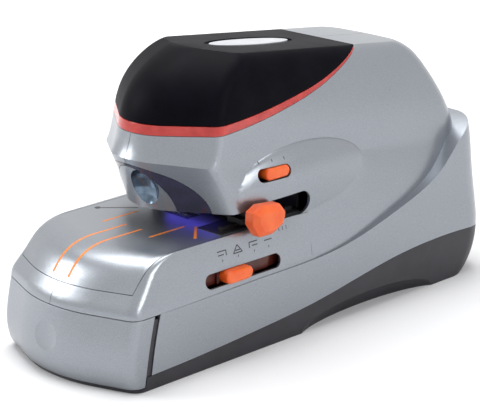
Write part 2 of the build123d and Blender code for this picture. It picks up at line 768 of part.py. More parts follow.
def anvil():
    block = slab(-ANVIL_X, ANVIL_X, STAPLE_Y - ANVIL_Y, STAPLE_Y + ANVIL_Y,
                 ARM_PIVOT[1] + ARM_HALF_HEIGHT, DECK_Z - 0.6)
    for side in (-1, 1):
        block -= Pos(side * 4.2, STAPLE_Y, DECK_Z - 0.6) * scale(Sphere(1), by=(3.4, 1.2, 1.0))
    return block


def arm_pin():
    return x_cylinder(ARM_PIN_RADIUS, -FRAME_X - FRAME_THICKNESS - 1, FRAME_X + FRAME_THICKNESS + 1,
                      *ARM_PIVOT)


def lift_link():
    link = slab(LINK_X, LINK_X + LINK_THICKNESS, LINK_Y - 3.5, LINK_Y + 3.5, ARM_PIVOT[1] - 5, 150)
    return link - x_cylinder(2.0 + SEAT_GAP, -FAR, FAR, LINK_Y, ARM_PIVOT[1])


def link_guide():
    block = slab(-FRAME_X, LINK_X + LINK_THICKNESS + 4, LINK_Y - 6, LINK_Y + 4.9, 126, 134)
    return block - slab(LINK_X - SEAT_GAP, LINK_X + LINK_THICKNESS + SEAT_GAP,
                        LINK_Y - 3.5 - SEAT_GAP, LINK_Y + 3.5 + SEAT_GAP, 0, FAR)


def cartridge_front():
    """Pull-out nose with one large finger scoop right of its centre."""
    nose = upper & arch(FACE_WIDTH - SEAM_GAP, FACE_HEIGHT - SEAM_GAP, -100, -FAR)
    nose &= slab(-FAR, FAR, -FAR, FAR, JAW_Z + 0.6, FAR)
    return nose - ellipsoid((12, -137, 127), (17.5, 18, 20))


def cartridge_body():
    body = slab(-CARTRIDGE_X, CARTRIDGE_X, -100, MAGAZINE_REAR_Y, MAGAZINE_Z, MAGAZINE_TOP_Z)
    body -= slab(-7.2, 7.2, STAPLE_Y - 1.5, MAGAZINE_REAR_Y - 2, MAGAZINE_Z + 1.4, FAR)
    return body - slab(-7.2, 7.2, STAPLE_Y - 1.5, STAPLE_Y + 1.5, 0, FAR)


def staple_strip():
    y0, y1 = STRIP_Y, STRIP_Y + STRIP_LENGTH
    strip = slab(-6.5, 6.5, y0, y1, MAGAZINE_Z + 1.6, MAGAZINE_TOP_Z - 1)
    return strip - slab(-5.4, 5.4, y0 - 1, y1 + 1, 0, MAGAZINE_TOP_Z - 2)


def pusher():
    return slab(-6.8, 6.8, PUSHER_Y, PUSHER_Y + PUSHER_LENGTH, MAGAZINE_Z + 1.6, MAGAZINE_TOP_Z - 0.6)


def pusher_spring():
    y0 = PUSHER_Y + PUSHER_LENGTH + SEAT_GAP
    length = MAGAZINE_REAR_Y - 2 - SEAT_GAP - y0
    tube = Cylinder(3.2, length) - Cylinder(2.3, length)
    return Pos(0, y0 + length / 2, MAGAZINE_Z + 6) * Rot(90, 0, 0) * tube


def window_lens():
    """Translucent face between the cartridge and the shells."""
    face = upper - upper_form(2.2)
    face &= arch(ARCH_WIDTH - SEAM_GAP, ARCH_HEIGHT - SEAM_GAP, -70, -FAR) - arch(
        FACE_WIDTH, FACE_HEIGHT, 0, -FAR)
    face &= slab(-FAR, FAR, -FAR, FAR, JAW_Z + 0.4, FAR)
    return Compound(children=face.solids())


def throat_liner():
    """Black lining of the throat: ceiling, rear wall, side lips and the ears of the paper flag."""
    rear = THROAT_END_Y + 2
    liner = slab(-LINER_X, LINER_X, -98, rear, LINER_Z, LINER_Z + LINER_THICKNESS)
    liner += slab(-LINER_X, LINER_X, THROAT_END_Y, rear, THROAT_FLOOR_Z, LINER_Z + 1)
    for side in (-1, 1):
        lip = side * (LINER_X - 2)
        liner += slab(min(lip, side * LINER_X), max(lip, side * LINER_X), -60, rear, LINER_Z, 120)
    pivot_y, pivot_z = FLAG_PIVOT
    for side in (-1, 1):
        ear = FLAG_X + side * 3.5
        liner += slab(ear - 0.8, ear + 0.8, pivot_y - 3, pivot_y + 3, LINER_Z, pivot_z + 3)
    liner -= x_cylinder(1.5 + BEARING_GAP, 0, 12, *FLAG_PIVOT)
    liner -= slab(FLAG_X - 2.5, FLAG_X + 2.5, -13, 3, THROAT_FLOOR_Z + 1, LINER_Z + 3)
    liner -= slab(-9, 9, STAPLE_Y - 4, STAPLE_Y + 4, 100, 130)
    return liner & upper_form(SHELL_WALL + SEAT_GAP)


def led_strip():
    return slab(-LED_HALF_WIDTH, LED_HALF_WIDTH, STAPLE_Y + 9, STAPLE_Y + 14, LINER_Z - 1.8, LINER_Z)


def depth_knob():
    """Faceted grip on the right of the throat."""
    z = (THROAT_TOP_Z + THROAT_FLOOR_Z) / 2
    outline = [
        (-17, -2), (-10, -12.5), (4, -13), (15, -8), (19, 2), (12, 10), (-8, 12), (-16.5, 8),
    ]
    face = make_face(Polyline(*outline, close=True))
    block = extrude(Plane((KNOB_X, KNOB_Y, z), x_dir=(0, 1, 0), z_dir=(1, 0, 0)) * face, amount=13)
    return chamfer(block.faces().sort_by(Axis.X)[-1].edges(), 4.5)


def depth_backstop():
    """Sliding paper stop across the throat, on its stem from the knob."""
    stop = slab(-48, KNOB_X, KNOB_Y - 2, KNOB_Y + 2, 100.4, 108.5)
    stop += slab(46, 62, KNOB_Y - 9, KNOB_Y + 9, 100.4, 105)
    return stop - slab(RAIL_X - SEAT_GAP, RAIL_X + RAIL_SIZE + SEAT_GAP, -FAR, 0, 0, DECK_Z + 3 + SEAT_GAP)


def depth_rail():
    return slab(RAIL_X, RAIL_X + RAIL_SIZE, -90, THROAT_END_Y - 4, DECK_Z, DECK_Z + 3)


def selector_slide():
    """Orange selector button with the plate that carries it behind the wall."""
    button = wall_slot(28, SELECTOR_HEIGHT - 1.2, SELECTOR_REST_Y, SELECTOR_Z, SELECTOR_PLATE_X + 2, 78.5)
    button = fillet(button.faces().sort_by(Axis.X)[-1].edges(), 2.5)
    plate = slab(SELECTOR_PLATE_X, SELECTOR_PLATE_X + 2, SELECTOR_REST_Y - 16, SELECTOR_REST_Y + 40,
                 SELECTOR_Z - 5.9, SELECTOR_Z + 6)
    return button + plate


def selector_track():
    y0, y1 = SELECTOR_Y - SELECTOR_LENGTH / 2 - 14, SELECTOR_Y + SELECTOR_LENGTH / 2 + 34
    return slab(SELECTOR_PLATE_X - 2.6, SELECTOR_PLATE_X - SEAT_GAP, y0, y1, SELECTOR_Z - 5.9, SELECTOR_Z + 8)


def mode_slide():
    button = wall_slot(MODE_LENGTH - MODE_TRAVEL - 1.5, MODE_HEIGHT - 1.2, MODE_REST_Y, MODE_Z,
                       MODE_PLATE_X, 70.5)
    return fillet(button.faces().sort_by(Axis.X)[-1].edges(), 2.0)


def mode_switch():
    """Switch block behind the mode slide, on an arm that reaches in to the frame."""
    block = slab(MODE_PLATE_X - 9, MODE_PLATE_X - SEAT_GAP, MODE_Y - 20, MODE_Y + 20, MODE_Z - 7, MODE_Z + 7)
    return block + slab(FRAME_X + FRAME_THICKNESS + SEAT_GAP, MODE_PLATE_X - 9, MODE_Y - 4, MODE_Y + 4,
                        MODE_Z - 4, MODE_Z + 4)


def power_inlet():
    inlet = slab(INLET_X - INLET_WIDTH / 2 + 0.2, INLET_X + INLET_WIDTH / 2 - 0.2, REAR_INSIDE_Y - 14, FAR,
                 REAR_Z - INLET_HEIGHT / 2 + 0.2, REAR_Z + INLET_HEIGHT / 2 - 0.2) & lower_form(0.4)
    socket = slab(INLET_X - 11, INLET_X + 11, REAR_INSIDE_Y, FAR, REAR_Z - 7, REAR_Z + 7)
    for x in (-6, 0, 6):
        socket -= slab(INLET_X + x - 1, INLET_X + x + 1, 0, REAR_INSIDE_Y + 10, REAR_Z - 2, REAR_Z + 2)
    return inlet - socket


def power_switch():
    """Rocker that rests tilted to one side and rolls over its axis along X to the other."""
    body = slab(ROCKER_X - 8, ROCKER_X + 8, ROCKER_Y - 1, ROCKER_Y + 8, REAR_Z - 5, REAR_Z + 5)
    body += x_cylinder(3, ROCKER_X - 8, ROCKER_X + 8, ROCKER_Y, REAR_Z)
    return body.rotate(Axis((0, ROCKER_Y, REAR_Z), (1, 0, 0)), -ROCKER_TILT)


def switch_housing():
    housing = slab(ROCKER_X - ROCKER_WIDTH / 2 + 0.2, ROCKER_X + ROCKER_WIDTH / 2 - 0.2,
                   REAR_INSIDE_Y - 10, FAR, REAR_Z - ROCKER_HEIGHT / 2 + 0.2,
                   REAR_Z + ROCKER_HEIGHT / 2 - 0.2) & lower_form(0.4)
    well = slab(ROCKER_X - 8.3, ROCKER_X + 8.3, ROCKER_Y - 4, FAR, REAR_Z - 6.2, REAR_Z + 6.2)
    return housing - well


def control_board():
    board = slab(-40, 40, FRAME_REAR_Y + 3, FRAME_REAR_Y + 4.6, 80, 160)
    for x, z, size in ((-20, 100, 9), (8, 120, 12), (22, 95, 7), (-15, 140, 6)):
        board += slab(x, x + size, FRAME_REAR_Y + 4.6, FRAME_REAR_Y + 9, z, z + size)
    return board


def board_standoffs():
    posts = []
    for side in (-1, 1):
        for z in (90, 150):
            centre = Pos(side * (FRAME_X + FRAME_THICKNESS / 2), FRAME_REAR_Y + 1.5, z)
            posts.append(centre * Rot(90, 0, 0) * Cylinder(1.5, 3))
    return Compound(children=posts)


def power_supply():
    core = slab(-40, 15, 85, 140, FLOOR_Z, FLOOR_Z + 46)
    return core + slab(-32, 7, 78, 147, FLOOR_Z + 8, FLOOR_Z + 38)


def frame_screws():
    screws = []
    top = FLOOR_Z + FRAME_THICKNESS
    for x, y in frame_screw_spots():
        screw = Pos(x, y, top + 1.2) * Cylinder(4, 2.4)
        screws.append(screw + Pos(x, y, top - 2) * Cylinder(SCREW_RADIUS, 4))
    return Compound(children=screws)


def shell_screws():
    screws = []
    for side in (-1, 1):
        for y in SCREW_YS:
            head = Pos(side * SCREW_X, y, FOOT_DROP + 0.75) * Cylinder(3.8, 1.4)
            screws.append(head + Pos(side * SCREW_X, y, 11.5) * Cylinder(SCREW_RADIUS, 21))
    return Compound(children=screws)


def drawer_front():
    """Silver drawer face that wraps round the nose, with a round finger dimple."""
    face = (lower - lower_form(DRAWER_WALL)) & ahead_of(shifted(DRAWER_EDGE, -0.2))
    return face & slab(-FAR, FAR, -FAR, FAR, FACE_BOTTOM_Z, BAND_BOTTOM_Z - 2 * SEAM_GAP)


def drawer_tray():
    """Open tray behind the drawer face, on two runners."""
    y0 = SHOULDER_Y + 8
    y1 = y0 + DRAWER_LENGTH
    wide = DRAWER_HALF_WIDTH
    outer = slab(-wide, wide, y0, y1, DRAWER_BOTTOM_Z, DRAWER_TOP_Z)
    tray = outer - slab(-wide + DRAWER_WALL, wide - DRAWER_WALL, y0 + DRAWER_WALL, y1 - DRAWER_WALL,
                        DRAWER_BOTTOM_Z + DRAWER_WALL, FAR)
    for x in (-40, 0, 40):
        tray += slab(x - 2, x + 2, -FAR, y0, 20, 44) & lower_form(DRAWER_WALL)
    for x in (-48, 48):
        tray += slab(x - 2, x + 2, y0, y1, FLOOR_Z + SEAT_GAP, DRAWER_BOTTOM_Z)
    return tray


def paper_flag():
    """Sensing lever that hangs in front of the rear wall and swings back when paper meets it."""
    pivot_y, pivot_z = FLAG_PIVOT
    flag = x_cylinder(1.5, FLAG_X - 4.4, FLAG_X + 4.4, pivot_y, pivot_z)
    flag += slab(FLAG_X - 2, FLAG_X + 2, -10.5, pivot_y, pivot_z - 1.2, pivot_z + 1.2)
    return flag + slab(FLAG_X - 2, FLAG_X + 2, -10.5, -9, 101, pivot_z + 1.2)


right, left = body_shells()
pieces = {
    "base_tray": base_tray(),
    "rubber_feet": rubber_feet(),
    "shell_right": right,
    "shell_left": left,
    "deck_cover": deck_cover(),
    "guide_lines": guide_lines(),
    "cap": cap(),
    "light_ring": light_ring(),
    "staple_button": staple_button(),
    "button_carrier": button_carrier(),
    "button_spring": button_spring(),
    "button_switch": button_switch(),
    "window_lens": window_lens(),
    "throat_liner": throat_liner(),
    "led_strip": led_strip(),
    "frame_plate_right": frame_plate(1),
    "frame_plate_left": frame_plate(-1),
    "frame_crossbars": crossbars(),
    "shaft_bushes": bushes(),
    "cam_shaft": cam_shaft(),
    "drive_cam": on_x_axis(drive_cam(), -CAM_WIDTH / 2, *CAM_AXIS, -90),
    "cam_gear": cam_gear(),
    "idler_stub": idler_stub(),
    "idler_gear": idler_gear(),
    "motor_pinion": pinion(),
    "motor_shaft": motor_shaft(),
    "drive_motor": drive_motor(),
    "ram": ram(),
    "driver_blade": driver_blade(),
    "ram_guide": ram_guide(),
    "ram_return_springs": return_springs(),
    "clincher_arm": clincher_arm(),
    "anvil": anvil(),
    "arm_pin": arm_pin(),
    "lift_link": lift_link(),
    "link_guide": link_guide(),
    "cartridge_front": cartridge_front(),
    "cartridge_body": cartridge_body(),
    "staple_strip": staple_strip(),
    "staple_pusher": pusher(),
    "pusher_spring": pusher_spring(),
    "drawer_front": drawer_front(),
    "drawer_tray": drawer_tray(),
    "depth_knob": depth_knob(),
    "depth_backstop": depth_backstop(),
    "depth_rail": depth_rail(),
    "selector_slide": selector_slide(),
    "selector_track": selector_track(),
    "mode_slide": mode_slide(),
    "mode_switch": mode_switch(),
    "power_inlet": power_inlet(),
    "power_switch": power_switch(),
    "switch_housing": switch_housing(),
    "control_board": control_board(),
    "board_standoffs": board_standoffs(),
    "power_supply": power_supply(),
    "frame_screws": frame_screws(),
    "shell_screws": shell_screws(),
    "paper_flag": paper_flag(),
}

os.makedirs("parts", exist_ok=True)
for name, shape in pieces.items():
    export_step(shape, f"parts/{name}.step")
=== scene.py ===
import math

import bmesh
import bpy
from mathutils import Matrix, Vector
from mathutils.bvhtree import BVHTree


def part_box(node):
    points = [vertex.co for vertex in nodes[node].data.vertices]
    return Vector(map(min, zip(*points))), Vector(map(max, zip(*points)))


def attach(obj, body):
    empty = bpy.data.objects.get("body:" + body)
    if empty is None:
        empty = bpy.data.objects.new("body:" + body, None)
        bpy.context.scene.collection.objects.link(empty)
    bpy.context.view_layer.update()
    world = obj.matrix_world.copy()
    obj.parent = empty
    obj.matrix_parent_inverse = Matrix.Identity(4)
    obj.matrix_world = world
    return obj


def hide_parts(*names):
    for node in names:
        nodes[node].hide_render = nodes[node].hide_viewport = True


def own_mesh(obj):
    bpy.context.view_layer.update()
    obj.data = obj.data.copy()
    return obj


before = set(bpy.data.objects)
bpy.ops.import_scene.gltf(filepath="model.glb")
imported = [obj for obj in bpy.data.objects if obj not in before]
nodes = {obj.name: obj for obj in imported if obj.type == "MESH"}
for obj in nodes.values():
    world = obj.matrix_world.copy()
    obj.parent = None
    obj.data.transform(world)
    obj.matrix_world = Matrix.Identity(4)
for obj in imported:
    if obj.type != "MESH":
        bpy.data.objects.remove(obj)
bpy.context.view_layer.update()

MM = 0.001


def linear(hex_colour):
    """An sRGB hex colour as linear red, green, blue and alpha."""
    parts = [int(hex_colour[i : i + 2], 16) / 255 for i in (1, 3, 5)]
    return tuple(c / 12.92 if c <= 0.04045 else ((c + 0.055) / 1.055) ** 2.4 for c in parts) + (1.0,)


# Materials


def add(tree, kind, settings=None, links=None, **sockets):
    """Adds a node with its own settings, its input values and the outputs that feed it."""
    node = tree.nodes.new(kind)
    for name, value in (settings or {}).items():
        setattr(node, name, value)
    for name, value in sockets.items():
        node.inputs[name.replace("_", " ")].default_value = value
    for name, output in (links or {}).items():
        tree.links.new(output, node.inputs[name])
    return node


def new_material(name, **sockets):
    """A material with its Principled shader and the Object coordinates."""
    material = bpy.data.materials.new(name)
    material.use_nodes = True
    tree = material.node_tree
    shader = tree.nodes["Principled BSDF"]
    for socket, value in sockets.items():
        shader.inputs[socket.replace("_", " ")].default_value = value
    place = add(tree, "ShaderNodeTexCoord").outputs["Object"]
    return material, tree, shader, place


def ramp(tree, factor, low, high, low_at=0.3, high_at=0.7):
    """A colour ramp between two colours."""
    node = add(tree, "ShaderNodeValToRGB", links={"Fac": factor})
    node.color_ramp.elements[0].position = low_at
    node.color_ramp.elements[0].color = low
    node.color_ramp.elements[1].position = high_at
    node.color_ramp.elements[1].color = high
    return node.outputs["Color"]


def grain(tree, shader, place, size_mm, depth_mm, strength, detail=3.0):
    """Fine bump whose bumps are size_mm wide."""
    noise = add(tree, "ShaderNodeTexNoise", links={"Vector": place}, Scale=1000 / size_mm, Detail=detail)
    bump = add(tree, "ShaderNodeBump", links={"Height": noise.outputs["Fac"]},
               Strength=strength, Distance=depth_mm * MM)
    tree.links.new(bump.outputs["Normal"], shader.inputs["Normal"])
    return noise.outputs["Fac"]


def roughness_patches(tree, shader, place, low, high, size_mm=30):
    """Roughness that wanders between two values, as handling leaves it."""
    noise = add(tree, "ShaderNodeTexNoise", links={"Vector": place}, Scale=1000 / size_mm, Detail=4.0)
    spread = add(tree, "ShaderNodeMapRange", links={"Value": noise.outputs["Fac"]},
                 **{"To_Min": low, "To_Max": high})
    tree.links.new(spread.outputs["Result"], shader.inputs["Roughness"])


def metallic_paint():
    """ABS sprayed with satin silver: fine aluminium flakes under a thin clear coat."""
    material, tree, shader, place = new_material(
        "sprayed_silver_abs", Metallic=0.82, IOR=1.5, Coat_Weight=0.15, Coat_Roughness=0.3)
    noise = add(tree, "ShaderNodeTexNoise", links={"Vector": place}, Scale=1000 / 0.5, Detail=2.0)
    flake = ramp(tree, noise.outputs["Fac"], linear("#888D94"), linear("#9DA1A7"), 0.3, 0.7)
    tree.links.new(flake, shader.inputs["Base Color"])
    roughness_patches(tree, shader, place, 0.26, 0.32)
    bump = add(tree, "ShaderNodeBump", links={"Height": noise.outputs["Fac"]}, Strength=0.02,
               Distance=0.02 * MM)
    tree.links.new(bump.outputs["Normal"], shader.inputs["Normal"])
    return material


def chrome_panel():
    """Dark vacuum-metallised plastic in the finger scoops: smooth, with faint orange peel."""
    material, tree, shader, place = new_material("dark_metallised_abs", Metallic=0.95)
    noise = add(tree, "ShaderNodeTexNoise", links={"Vector": place}, Scale=1000 / 6, Detail=2.0)
    tree.links.new(ramp(tree, noise.outputs["Fac"], linear("#4E5C6B"), linear("#6C7C8C")),
                   shader.inputs["Base Color"])
    roughness_patches(tree, shader, place, 0.14, 0.2)
    grain(tree, shader, place, 4.0, 0.05, 0.05)
    return material


def soft_touch():
    """Soft-touch lacquer on ABS: blue black, 0.4 mm grain, a soft sheen at the edges."""
    material, tree, shader, place = new_material(
        "soft_touch_lacquer", IOR=1.4, Specular_IOR_Level=0.05)
    noise = add(tree, "ShaderNodeTexNoise", links={"Vector": place}, Scale=1000 / 18, Detail=5.0)
    colour = ramp(tree, noise.outputs["Fac"], linear("#08080D"), linear("#0D0D14"))
    tree.links.new(colour, shader.inputs["Base Color"])
    roughness_patches(tree, shader, place, 0.4, 0.5)
    grain(tree, shader, place, 0.8, 0.04, 0.15)
    return material


def moulded_plastic(name, dark, light, low=0.35, high=0.5, size_mm=0.8, strength=0.15, **sockets):
    """Injection-moulded plastic with a fine spark grain and faint flow marks."""
    material, tree, shader, place = new_material(name, IOR=1.5, **sockets)
    noise = add(tree, "ShaderNodeTexNoise", links={"Vector": place}, Scale=1000 / 12, Detail=4.0)
    tree.links.new(ramp(tree, noise.outputs["Fac"], linear(dark), linear(light)),
                   shader.inputs["Base Color"])
    roughness_patches(tree, shader, place, low, high)
    grain(tree, shader, place, size_mm, 0.03, strength)
    return material


def worked_metal(name, dark, light, low=0.25, high=0.45, stretch=(1, 40, 40)):
    """Ground or rolled steel: fine lines 0.3 mm apart along one direction."""
    material, tree, shader, place = new_material(name, Metallic=1.0)
    mapped = add(tree, "ShaderNodeMapping", links={"Vector": place}, Scale=stretch)
    noise = add(tree, "ShaderNodeTexNoise", links={"Vector": mapped.outputs["Vector"]},
                Scale=1000 / 12, Detail=3.0)
    tree.links.new(ramp(tree, noise.outputs["Fac"], linear(dark), linear(light)),
                   shader.inputs["Base Color"])
    spread = add(tree, "ShaderNodeMapRange", links={"Value": noise.outputs["Fac"]},
                 **{"To_Min": low, "To_Max": high})
    tree.links.new(spread.outputs["Result"], shader.inputs["Roughness"])
    return material


def guide_line_paint():
    """Pad-printed lines: orange, and dark grey on the left-hand corner line."""
    material, tree, shader, place = new_material("pad_printed_ink", IOR=1.5, Roughness=0.4)
    axes = add(tree, "ShaderNodeSeparateXYZ", links={"Vector": place})
    left = add(tree, "ShaderNodeMath", {"operation": "LESS_THAN"}, {0: axes.outputs["X"]})
    left.inputs[1].default_value = -0.0298
    noise = add(tree, "ShaderNodeTexNoise", links={"Vector": place}, Scale=1000 / 2.0)
    orange = ramp(tree, noise.outputs["Fac"], linear("#E8761A"), linear("#F48F2C"))
    mix = add(tree, "ShaderNodeMix", {"data_type": "RGBA"})
    tree.links.new(left.outputs[0], mix.inputs[0])
    tree.links.new(orange, mix.inputs[6])
    mix.inputs[7].default_value = linear("#33343A")
    tree.links.new(mix.outputs[2], shader.inputs["Base Color"])
    return material


silver = metallic_paint()
cap_lacquer = soft_touch()
ring_plastic = moulded_plastic("translucent_red_pmma", "#B42A26", "#CC4038", 0.12, 0.2, 2.0, 0.03,
                               Subsurface_Weight=0.25, Subsurface_Scale=0.004, Coat_Weight=0.3)
orange_plastic = moulded_plastic("orange_abs", "#EA5A1C", "#F46E2C", 0.25, 0.36, 1.0, 0.08,
                                 Subsurface_Weight=0.1, Subsurface_Scale=0.002)
base_plastic = moulded_plastic("black_grained_abs", "#1C1A20", "#27242B", 0.34, 0.5, 0.9, 0.25)
inner_plastic = moulded_plastic("black_nylon", "#141416", "#1F1F22", 0.45, 0.6)
violet_lens = moulded_plastic("smoked_violet_polycarbonate", "#1B1830", "#2A2746", 0.08, 0.16, 3.0, 0.02,
                              Coat_Weight=0.6)
button_plastic = moulded_plastic("pearl_silver_abs", "#B9BBC0", "#CDCFD3", 0.25, 0.35, 1.0, 0.05,
                                 Metallic=0.25)
board_laminate = moulded_plastic("green_glass_laminate", "#123F22", "#1B5630", 0.3, 0.4)
foot_rubber = moulded_plastic("black_nitrile_rubber", "#0E0E0F", "#1A1A1B", 0.75, 0.9)
light_lens = moulded_plastic("frosted_light_lens", "#8C88F0", "#A6A2FF", 0.3, 0.4,
                             Emission_Color=linear("#6A5CFF"), Emission_Strength=2.6)
zinc_steel = worked_metal("zinc_plated_steel", "#9C9EA2", "#BEC0C4")
tool_steel = worked_metal("ground_tool_steel", "#5A5C60", "#7C7E83", 0.2, 0.35)
spring_steel = worked_metal("oiled_spring_steel", "#6E7074", "#909296", 0.2, 0.3, (40, 1, 40))
bronze = worked_metal("sintered_bronze", "#94703C", "#B68C50", 0.4, 0.6, (10, 10, 10))
bright_wire = worked_metal("galvanised_wire", "#B0B2B6", "#D0D2D6", 0.2, 0.3)
line_ink = guide_line_paint()
scoop_panel = chrome_panel()
# Painted shade: dark brown for the orange selector and its track where the slot shades them.
slot_shade = moulded_plastic("painted_slot_shade_brown", "#431710", "#5E2416", 0.3, 0.4)
mark_ink = moulded_plastic("grey_pad_print_ink", "#26272C", "#34353B", 0.4, 0.5)

finishes = {
    silver: ["shell_right", "shell_left", "deck_cover", "cartridge_front", "drawer_front"],
    cap_lacquer: ["cap"],
    ring_plastic: ["light_ring"],
    orange_plastic: ["depth_knob", "selector_slide", "mode_slide"],
    base_plastic: ["base_tray", "switch_housing", "power_inlet", "power_switch"],
    inner_plastic: ["button_carrier", "button_switch", "throat_liner", "cartridge_body", "staple_pusher",
                    "drawer_tray", "depth_rail", "depth_backstop", "mode_switch", "power_supply",
                    "paper_flag"],
    violet_lens: ["window_lens"],
    # Painted shade on the selector track deep in its slot.
    slot_shade: ["selector_track"],
    button_plastic: ["staple_button"],
    board_laminate: ["control_board"],
    foot_rubber: ["rubber_feet"],
    light_lens: ["led_strip"],
    zinc_steel: ["frame_plate_right", "frame_plate_left", "frame_crossbars", "clincher_arm", "lift_link",
                 "link_guide", "board_standoffs", "frame_screws", "shell_screws",
                 "drive_motor"],
    tool_steel: ["drive_cam", "cam_gear", "idler_gear", "motor_pinion", "motor_shaft", "cam_shaft", "ram",
                 "driver_blade", "ram_guide", "anvil", "arm_pin", "idler_stub"],
    bronze: ["shaft_bushes"],
    bright_wire: ["staple_strip"],
    line_ink: ["guide_lines"],
}


def paint(obj, material):
    """Gives the object one material all over."""
    obj.data.materials.clear()
    obj.data.materials.append(material)


finish_of = {}
for material, names in finishes.items():
    for name in names:
        paint(nodes[name], material)
        finish_of[name] = material


# Pieces


def select_only(obj):
    """Makes the object the only selected one, and the active one."""
    bpy.ops.object.select_all(action="DESELECT")
    obj.select_set(True)
    bpy.context.view_layer.objects.active = obj


def modify(obj, kind, **settings):
    """Adds a modifier and applies it."""
    select_only(obj)
    modifier = obj.modifiers.new("step", kind)
    for name, value in settings.items():
        setattr(modifier, name, value)
    bpy.ops.object.modifier_apply(modifier=modifier.name)


def merged_copy(node, name):
    """A copy of a CAD node with its triangles joined into one skin."""
    piece = nodes[node].copy()
    piece.data = nodes[node].data.copy()
    piece.name = name
    piece.data.name = name
    piece.parent = None
    for key in list(piece.keys()):
        del piece[key]
    bpy.context.scene.collection.objects.link(piece)
    select_only(piece)
    bpy.ops.object.mode_set(mode="EDIT")
    bpy.ops.mesh.select_all(action="SELECT")
    bpy.ops.mesh.remove_doubles(threshold=0.00001)
    bpy.ops.mesh.normals_make_consistent(inside=False)
    bpy.ops.object.mode_set(mode="OBJECT")
    return piece


def finish_piece(piece, body, slot, material, *replaced):
    """Paints a piece, hangs it on its body and lets it stand for its CAD nodes."""
    paint(piece, material)
    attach(piece, body)
    if replaced:
        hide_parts(*replaced)


def soften(piece, width_mm=0.5, angle=38):
    """Rounds the sharp edges a little and shades the rest smooth."""
    modify(piece, "BEVEL", width=width_mm * MM, segments=2, limit_method="ANGLE",
           angle_limit=math.radians(angle))
    select_only(piece)
    bpy.ops.object.shade_smooth_by_angle(angle=math.radians(26))
    modify(piece, "WEIGHTED_NORMAL", mode="FACE_AREA", weight=60, keep_sharp=True)


skins = [
    ("shell_right", "body", "silver_paint", 0.5),
    ("shell_left", "body", "silver_paint", 0.5),
    ("deck_cover", "body", "deck_paint", 0.3),
    ("cap", "body", "soft_black", 0.5),
    ("light_ring", "body", "ring_red", 0.2),
    ("base_tray", "body", "base_plastic", 0.5),
    ("cartridge_front", "cartridge", "silver_paint", 0.6),
    ("window_lens", "body", "lens_violet", 0.2),
    ("staple_button", "staple_key", "button_silver", 0.5),
    ("depth_knob", "depth_stop", "orange_plastic", 0.8),
    ("selector_slide", "selector", "orange_plastic", 0.4),
    ("mode_slide", "mode_key", "orange_plastic", 0.4),
]
made = {}
for node, body, slot, width in skins:
    piece = merged_copy(node, node + "_skin")
    soften(piece, width)
    finish_piece(piece, body, slot, finish_of[node], node)
    made[node] = piece


def skin_tree(piece):
    """The piece's mesh as a tree for ray casts."""
    mesh = bmesh.new()
    mesh.from_mesh(piece.data)
    tree = BVHTree.FromBMesh(mesh)
    mesh.free()
    return tree


def drawer_face():
    """Drawer face with a shallow round dish for a fingertip."""
    dish_z, dish_depth, ball_radius = 41 * MM, 1.3 * MM, 52 * MM
    face = merged_copy("drawer_front", "drawer_face_skin")
    front = skin_tree(face).ray_cast(Vector((0, -0.3, dish_z)), Vector((0, 1, 0)))[0]
    bpy.ops.object.select_all(action="DESELECT")
    bpy.ops.mesh.primitive_uv_sphere_add(segments=192, ring_count=96, radius=ball_radius,
                                         location=(0.0, front.y + dish_depth - ball_radius, dish_z))
    ball = bpy.context.object
    modify(face, "BOOLEAN", operation="DIFFERENCE", object=ball, solver="EXACT")
    bpy.data.objects.remove(ball)
    soften(face, 0.4)
    finish_piece(face, "drawer", "silver_paint", silver, "drawer_front")


drawer_face()


def paint_where(piece, material, wanted):
    """A second material on the faces whose centre the test picks."""
    piece.data.materials.append(material)
    for face in piece.data.polygons:
        if wanted(face):
            face.material_index = len(piece.data.materials) - 1


def in_scoop(face):
    """Whether the face lies in the finger scoop, an ellipsoid cut a little larger than in the CAD."""
    middle, half_axes = (12, -137, 127), (17.6, 18.1, 20.1)
    return sum(((value / MM - centre) / half) ** 2
               for value, centre, half in zip(face.center, middle, half_axes)) < 1.0


def on_ring_top(face):
    """Whether the face is on the rear top stretch of the light ring."""
    return face.normal.z > 0.8 and face.center.y > 0.0


def in_slot(face):
    """Whether the face is on the part of the selector that stays inside its slot, which gets painted
    shade.
    """
    return face.center.x < 69.2 * MM


paint_where(made["cartridge_front"], scoop_panel, in_scoop)
paint_where(made["light_ring"], cap_lacquer, on_ring_top)
# Painted shade on the part of the orange selector inside its slot.
paint_where(made["selector_slide"], slot_shade, in_slot)


def throat_shade_strip():
    """Thin black strip of painted shade on the deck under the right of the jaw, where the throat lies in
    shadow.
    """
    bpy.ops.object.select_all(action="DESELECT")
    bpy.ops.mesh.primitive_cube_add(size=1.0, location=(0.0495, -0.053, 0.0982),
                                    scale=(0.026, 0.088, 0.0005))
    strip = bpy.context.object
    strip.name = "throat_painted_shade_strip"
    bpy.ops.object.transform_apply(location=True, rotation=True, scale=True)
    select_only(strip)
    bpy.ops.object.mode_set(mode="EDIT")
    bpy.ops.mesh.select_all(action="SELECT")
    bpy.ops.mesh.bevel(offset=0.00015, segments=2, affect="EDGES")
    bpy.ops.object.mode_set(mode="OBJECT")
    # Painted shade: black stands in for the shadow inside the throat.
    finish_piece(strip, "body", "liner_black", inner_plastic)


# Painted shadow inside the throat, as a black strip on the deck.
throat_shade_strip()


def mesh_piece(name, mesh):
    """A new object from a finished mesh, selected alone."""
    bmesh.ops.recalc_face_normals(mesh, faces=mesh.faces)
    data = bpy.data.meshes.new(name)
    mesh.to_mesh(data)
    mesh.free()
    piece = bpy.data.objects.new(name, data)
    bpy.context.scene.collection.objects.link(piece)
    select_only(piece)
    return piece


